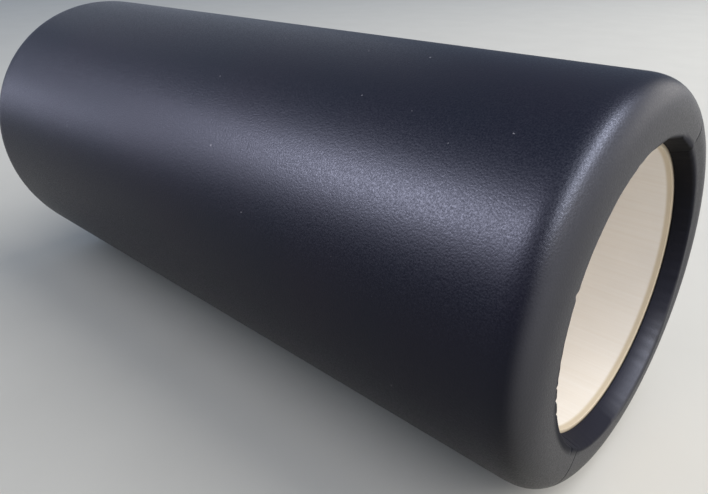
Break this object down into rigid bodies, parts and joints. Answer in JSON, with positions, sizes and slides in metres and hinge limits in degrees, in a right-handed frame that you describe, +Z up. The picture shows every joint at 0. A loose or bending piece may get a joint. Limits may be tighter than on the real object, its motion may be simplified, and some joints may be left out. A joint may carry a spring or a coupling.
{
  "type": "foam roller",
  "caption": "Hollow foam roller for massage and stretching: a moulded foam body with rounded shoulders around a rigid plastic core tube.",
  "frame": {"origin": "on the floor below the middle of the roller as it lies on its side", "axes": "+X along the roller's axis, +Z up from the floor, +Y across the roller"},
  "size_m": [0.336, 0.14, 0.1399],
  "materials": {
    "foam_skin": "satin moulded skin of polyurethane foam, fine leather grain, charcoal black",
    "core_plastic": "smooth extruded plastic pipe, ivory"
  },
  "bodies": {
    "root": {"foam_body": "foam_skin", "core_tube": "core_plastic"}
  },
  "joints": []
}
